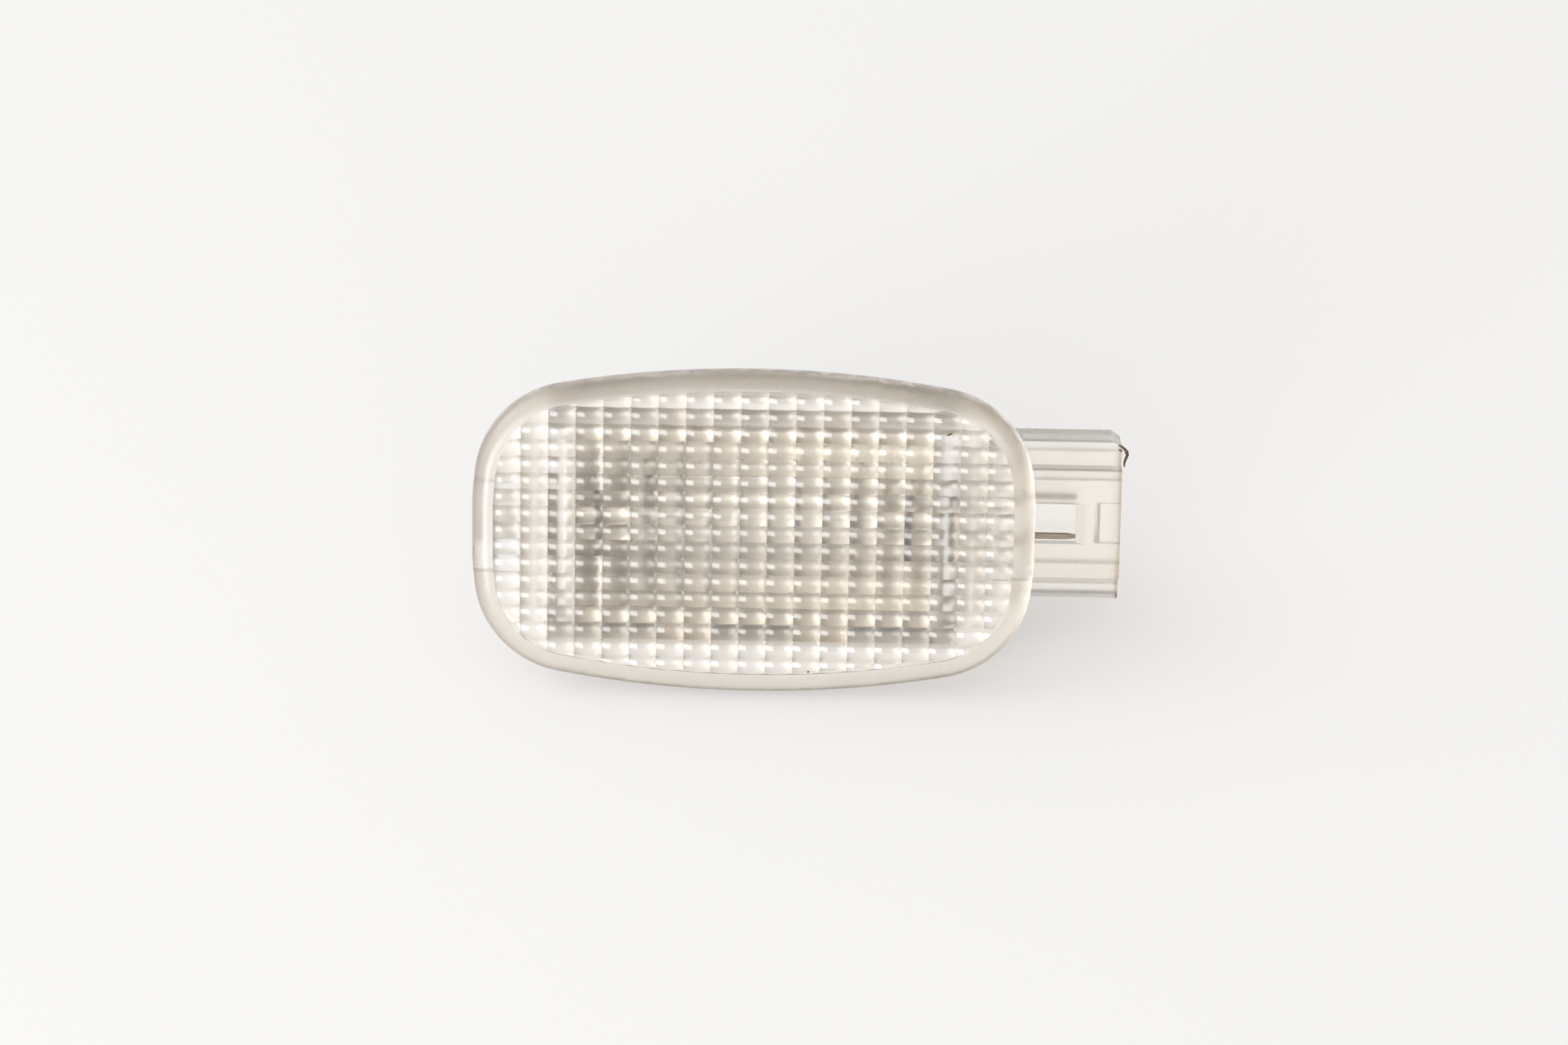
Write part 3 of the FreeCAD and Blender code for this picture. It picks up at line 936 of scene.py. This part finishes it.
@dataclass
class Bulb:
    """Festoon bulb: glass tube with rounded shoulders and a coiled filament."""

    half_length: float
    radius: float
    axis_y: float
    lead_end: float
    wall: float = 0.6
    neck_radius: float = 2.9
    neck_length: float = 3.4
    shoulder_round: float = 1.4
    lead_hole: float = 0.35
    lead_radius: float = 0.22
    coil_radius: float = 0.55
    coil_half_length: float = 7.0
    coil_turns: int = 22
    wire_radius: float = 0.09
    steps: int = 48
    shoulder_steps: int = 6
    inner_steps: int = 5
    lead_steps: int = 12
    coil_steps: int = 16
    wire_steps: int = 6

    @classmethod
    def from_frame(cls) -> "Bulb":
        """Take the outer sizes from the bulb's solids.

        Returns:
            The bulb in its place.
        """
        low, high = corner_of("bulb_glass")
        _, wire_high = corner_of("bulb_filament")
        return cls(half_length=high.x, radius=high.z, axis_y=(low.y + high.y) / 2, lead_end=wire_high.x)

    def build_glass(self) -> bpy.types.Object:
        """Build the hollow tube with its two sealed necks.

        Returns:
            The new piece.
        """
        neck_start = self.half_length - self.neck_length
        bend = self.shoulder_round
        outer = [
            *reversed(arc((neck_start - bend, self.radius - bend), bend, 0, 90, self.shoulder_steps)),
            (neck_start, self.neck_radius),
            (self.half_length, self.neck_radius),
        ]
        inner_bend = bend - self.wall
        inner_x = neck_start - self.wall
        inner = [
            (self.half_length, self.lead_hole),
            (inner_x, self.lead_hole),
            *arc((inner_x - inner_bend, self.radius - bend), inner_bend, 0, 90, self.inner_steps),
        ]
        right = outer + inner
        left = [(-x, radius) for x, radius in reversed(right)]
        outer_count = len(outer)
        profile = left[-outer_count:] + right + left[:-outer_count]
        shape = bmesh.new()
        revolve(shape, profile, self.axis_y, self.steps)
        piece = add_piece("bulb_tube", shape, crease=35)
        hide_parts("bulb_glass")
        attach(piece, "root")
        return piece

    def add_lead(self, shape: Mesh, side: int) -> None:
        """Add the lead wire on one side of the coil.

        Args:
            shape: Mesh that takes the wire.
            side: -1 for the left wire and 1 for the right one.
        """
        ends = sorted((side * self.coil_half_length, side * self.lead_end))
        ahead, up = Vector((0, self.lead_radius, 0)), Vector((0, 0, self.lead_radius))
        middles = [Vector((x, self.axis_y, 0)) for x in ends]
        add_tube(shape, [add_ring(shape, middle, ahead, up, self.lead_steps) for middle in middles])

    def add_coil(self, shape: Mesh) -> None:
        """Add the coil between the two leads.

        Args:
            shape: Mesh that takes the coil.
        """
        count = self.coil_turns * self.coil_steps
        along = Vector((self.wire_radius, 0, 0))
        rings = []
        for step in range(count + 1):
            share = step / count
            angle = 2 * math.pi * self.coil_turns * share
            out = Vector((0, math.cos(angle), math.sin(angle)))
            axis = Vector((self.coil_half_length * (2 * share - 1), self.axis_y, 0))
            rings.append(add_ring(shape, axis + out * self.coil_radius, out * self.wire_radius, along,
                                  self.wire_steps))
        add_tube(shape, rings)

    def build_filament(self) -> bpy.types.Object:
        """Build the coil with its two lead wires as one mesh.

        Returns:
            The new piece.
        """
        shape = bmesh.new()
        for side in (-1, 1):
            self.add_lead(shape, side)
        self.add_coil(shape)
        piece = add_piece("bulb_coil", shape, crease=50)
        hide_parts("bulb_filament")
        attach(piece, "root")
        return piece


@dataclass(frozen=True)
class Crumb:
    """Rough crumb: its middle, its half sizes and the degrees by which its right end is lifted."""

    place: Size
    size: Size
    turn: float = 0.0
    lumps: float = 0.25
    lump_scale: float = 2.0

    def add(self, shape: Mesh, origin: Vector) -> None:
        """Add the crumb to a mesh.

        Args:
            shape: Mesh that takes the crumb.
            origin: Point that its place is counted from.
        """
        middle = origin + Vector(self.place)
        tilt = Quaternion((0, 1, 0), -math.radians(self.turn))
        for vert in bmesh.ops.create_icosphere(shape, subdivisions=2, radius=1.0)["verts"]:
            lump = 1 + self.lumps * noise.noise(vert.co * self.lump_scale + middle)
            vert.co = middle + tilt @ (vert.co * lump * Vector(self.size))


@dataclass
class Blemishes:
    """Torn burr at the socket's broken corner, and crumbs of dirt on the burr, the lens and the socket.

    The burr and its crumbs are placed from the broken corner, the socket's crumb from the one below.
    """

    mouth_x: float
    wing_top: float
    wing_front: float
    lens: Lens
    mouth_slack: float = 0.01
    strand_radius: float = 0.13
    strand_tip: float = 0.45
    strand_steps: int = 8
    burr: tuple[Point, ...] = ((-0.4, -0.55), (-0.05, -0.7), (0.3, -1.0), (0.6, -1.35), (0.68, -1.75),
                               (0.5, -2.2), (0.35, -2.7), (0.36, -3.2))
    burr_crumbs: tuple[Crumb, ...] = (Crumb((0.58, 0.0, -1.4), (0.24, 0.2, 0.26)),
                                      Crumb((-0.15, 0.05, -1.2), (0.26, 0.12, 0.14), turn=-20.0))
    socket_crumb: Crumb = Crumb((-0.1, 0.0, 0.45), (0.12, 0.1, 0.12))
    lens_crumbs: tuple[Crumb, ...] = (Crumb((22.6, 0.0, 12.55), (0.4, 0.09, 0.11), turn=28.0),
                                      Crumb((6.7, 0.0, -16.5), (0.14, 0.14, 0.14)))

    @classmethod
    def from_frame(cls, lens: Lens) -> "Blemishes":
        """Find the socket's corner in the housing solid.

        Args:
            lens: The lens that carries some of the crumbs.

        Returns:
            The blemishes in their places.
        """
        points = points_of("housing")
        mouth_x = max(point.x for point in points)
        mouth = [point for point in points if point.x > mouth_x - cls.mouth_slack]
        wing_top = -min(point.z for point in mouth)
        low = min(mouth, key=lambda point: (round(point.z, 1), point.y))
        return cls(mouth_x=mouth_x, wing_top=wing_top, wing_front=low.y, lens=lens)

    def add_strand(self, shape: Mesh, path: Sequence[Vector]) -> None:
        """Add a bent strand of torn plastic that thins out to its ends.

        Args:
            shape: Mesh that takes the strand.
            path: Points along its middle, in a plane across Y.
        """
        rings = []
        for index, point in enumerate(path):
            ahead = (path[min(index + 1, len(path) - 1)] - path[max(index - 1, 0)]).normalized()
            aside = Vector((ahead.z, 0, -ahead.x))
            thick = self.strand_radius * (self.strand_tip + math.sin(math.pi * (index + 0.5) / len(path)))
            rings.append(add_ring(shape, point, aside * thick, Vector((0, thick, 0)), self.strand_steps))
        add_tube(shape, rings)

    def build(self) -> bpy.types.Object:
        """Build all the dirt as one mesh.

        Returns:
            The new piece.
        """
        shape = bmesh.new()
        corner = Vector((self.mouth_x, self.wing_front, self.wing_top))
        self.add_strand(shape, [corner + Vector((x, 0, z)) for x, z in self.burr])
        for crumb in self.burr_crumbs:
            crumb.add(shape, corner)
        self.socket_crumb.add(shape, Vector((self.mouth_x, self.wing_front, -self.wing_top)))
        for crumb in self.lens_crumbs:
            x, _, z = crumb.place
            crumb.add(shape, Vector((0, self.lens.dome(x, z, Face.FRONT), 0)))
        piece = add_piece("dirt", shape, crease=60)
        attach(piece, "root")
        return piece


@dataclass(frozen=True)
class SoftBox:
    """Soft lamp that faces the lens, by degrees to the right and above its normal, with sizes in metres."""

    name: str
    azimuth: float
    elevation: float
    distance: float
    width: float
    height: float
    power: float

    def build(self) -> None:
        """Add the lamp."""
        data = bpy.data.lights.new(self.name, "AREA")
        data.shape = "RECTANGLE"
        data.size = self.width
        data.size_y = self.height
        data.energy = self.power
        lamp = bpy.data.objects.new(self.name, data)
        way = direction(self.azimuth, self.elevation)
        lamp.location = way * self.distance
        lamp.rotation_mode = "QUATERNION"
        lamp.rotation_quaternion = way.to_track_quat("Z", "Y")
        bpy.context.scene.collection.objects.link(lamp)


@dataclass
class Studio:
    """White table that the lamp leans back on, soft light all round and the camera.

    The table's size and the camera's clip_end are in metres.
    """

    rim_y: float
    rim_z: float
    heel_y: float
    heel_z: float
    lens_front: float
    heel_slack: float = 0.1
    table_size: float = 4.0
    table_white: Color = (0.95, 0.945, 0.935)
    table_rough: float = 0.6
    table_shine: float = 0.2
    table_glow: float = 0.4
    elevation: float = 15.2
    roll: float = 1.0
    focal_mm: float = 130.0
    sensor_mm: float = 36.0
    distance: float = 660.0
    clip_end: float = 20.0
    lens_px: Point = (1009.2, 718.4)
    photo_size: Point = (2100.0, 1400.0)
    key: SoftBox = SoftBox("key", azimuth=-36.2, elevation=-9.1, distance=1.0,
                           width=0.46, height=0.3, power=4.0)
    fill: SoftBox = SoftBox("fill", azimuth=10.0, elevation=-3.0, distance=1.2,
                            width=1.3, height=0.26, power=1.3)
    window: SoftBox = SoftBox("window", azimuth=-78.0, elevation=33.0, distance=1.2,
                              width=0.8, height=0.6, power=3.6)
    room_tint: Color = (1.0, 0.99, 0.975)
    room_dark: float = 0.27
    room_light: float = 1.52
    room_way: Size = (-0.85, -0.52, -0.1)
    room_span: Point = (-0.4, 1.0)

    @classmethod
    def from_frame(cls) -> "Studio":
        """Take the two lines that touch the table from the solids.

        Returns:
            The studio round the lamp.
        """
        lens_low, lens_high = corner_of("lens")
        points = points_of("housing")
        heel_y = max(point.y for point in points)
        heel_z = min(point.z for point in points if point.y > heel_y - cls.heel_slack)
        return cls(rim_y=lens_high.y, rim_z=lens_low.z, heel_y=heel_y, heel_z=heel_z,
                   lens_front=lens_low.y)

    @property
    def lean(self) -> float:
        """Angle in radians by which the lens leans back from the table's upright."""
        return math.atan2(self.heel_z - self.rim_z, self.heel_y - self.rim_y)

    def table_material(self) -> bpy.types.Material:
        """White table that shows from above only.

        Returns:
            The new material.
        """
        shader = Shader("white_table")
        shader.set(Base_Color=self.table_white, Roughness=self.table_rough,
                   Specular_IOR_Level=self.table_shine)
        ray = shader.add("ShaderNodeLightPath").outputs
        seen = add_math(shader.tree, "ADD", ray["Is Camera Ray"], ray["Is Glossy Ray"])
        seen = add_math(shader.tree, "ADD", seen, ray["Is Transmission Ray"])
        share = add_math(shader.tree, "MULTIPLY", seen, self.table_glow, clamp=True)
        glow = shader.add("ShaderNodeEmission", {"Color": self.table_white})
        lit = shader.mix(share, shader.surface.outputs["BSDF"], glow.outputs["Emission"])
        side = shader.add("ShaderNodeNewGeometry")
        clear = shader.add("ShaderNodeBsdfTransparent")
        shader.show(Surface=shader.mix(side.outputs["Backfacing"], lit, clear.outputs["BSDF"]))
        return shader.material

    def build_table(self) -> None:
        """Add the table plane through the rim's lower edge and the chamber's heel."""
        half = self.table_size / 2
        rise = Vector((0, math.cos(self.lean), math.sin(self.lean)))
        touch = Vector((0, self.rim_y, self.rim_z)) * MM
        corners = [touch + Vector((x, 0, 0)) + rise * y
                   for x, y in ((-half, -half), (half, -half), (half, half), (-half, half))]
        mesh = bpy.data.meshes.new("table")
        mesh.from_pydata([tuple(c) for c in corners], [], [(0, 1, 2, 3)])
        mesh.materials.append(self.table_material())
        table = bpy.data.objects.new("table", mesh)
        bpy.context.scene.collection.objects.link(table)

    def build_world(self) -> None:
        """Light the scene softly from all round, more from one side."""
        world = bpy.data.worlds.new("soft_room")
        bpy.context.scene.world = world
        world.use_nodes = True
        tree = world.node_tree
        way = add_node(tree, "ShaderNodeTexCoord").outputs["Generated"]
        toward = add_node(tree, "ShaderNodeVectorMath", {0: way, 1: self.room_way}, operation="DOT_PRODUCT")
        level = add_range(tree, toward.outputs["Value"], self.room_span, (self.room_dark, self.room_light))
        back = tree.nodes["Background"].inputs
        feed(tree, back["Color"], self.room_tint)
        feed(tree, back["Strength"], level)

    def build_camera(self) -> None:
        """Stand the camera where the photograph was taken from."""
        data = bpy.data.cameras.new("camera")
        data.lens = self.focal_mm
        data.sensor_width = self.sensor_mm
        data.clip_end = self.clip_end
        camera = bpy.data.objects.new("camera", data)
        back = direction(0.0, self.elevation)
        turn = (-back).to_track_quat("-Z", "Y")
        pixels_per_mm = self.focal_mm / self.sensor_mm * self.photo_size[0] / self.distance
        right = (self.photo_size[0] / 2 - self.lens_px[0]) / pixels_per_mm
        up = (self.lens_px[1] - self.photo_size[1] / 2) / pixels_per_mm
        aim = Vector((0, self.lens_front, 0)) + turn @ Vector((right, up, 0))
        camera.location = (aim + back * self.distance) * MM
        camera.rotation_mode = "QUATERNION"
        camera.rotation_quaternion = turn @ Quaternion((0, 0, 1), math.radians(self.roll))
        bpy.context.scene.collection.objects.link(camera)
        bpy.context.scene.camera = camera

    def build(self) -> None:
        """Set up the table, the lights and the camera."""
        self.build_table()
        self.build_world()
        for lamp in (self.key, self.fill, self.window):
            lamp.build()
        self.build_camera()
        bpy.context.scene.view_settings.view_transform = "Standard"


def dress(material: bpy.types.Material, *nodes: str) -> None:
    """Give solids of the frame their finish.

    Args:
        material: The finish.
        nodes: Names of the solids.
    """
    for node in nodes:
        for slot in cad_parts[node].material_slots:
            slot.material = material
        log.info("%s: dressed in %s", node, material.name)


def main() -> None:
    """Build the pieces, dress them and set up the scene."""
    logging.basicConfig(level=logging.INFO, format="%(name)s: %(message)s")
    effects = SharedEffects()
    lens = Lens.from_frame()
    _, sheet_high = corner_of("reflector")
    # The painted shade over the chamber reaches a little past the reflector.
    chamber_shade_reach = (sheet_high.x + CHAMBER_SHADE_REACH[0], sheet_high.z + CHAMBER_SHADE_REACH[1])
    lens.build().data.materials.append(LENS_PLASTIC.material(effects, chamber_shade_reach=(chamber_shade_reach[0], sheet_high.z)))
    Blemishes.from_frame(lens).build().data.materials.append(BURR_DIRT.material())
    bulb = Bulb.from_frame()
    bulb.build_glass().data.materials.append(TUBE_GLASS.material(effects))
    bulb.build_filament().data.materials.append(FILAMENT_METAL.material(effects))
    _, housing_high = corner_of("housing")
    dress(HOUSING_PLASTIC.material(effects, end=housing_high.x, chamber_shade_reach=chamber_shade_reach), "housing")
    dress(REFLECTOR_SHEET.material(effects), "reflector")
    dress(CONTACT_METAL.material(effects), "contact_left", "contact_right")
    dress(CAP_METAL.material(effects), "bulb_cap_left", "bulb_cap_right")
    Studio.from_frame().build()


if __name__ == "__main__":
    main()
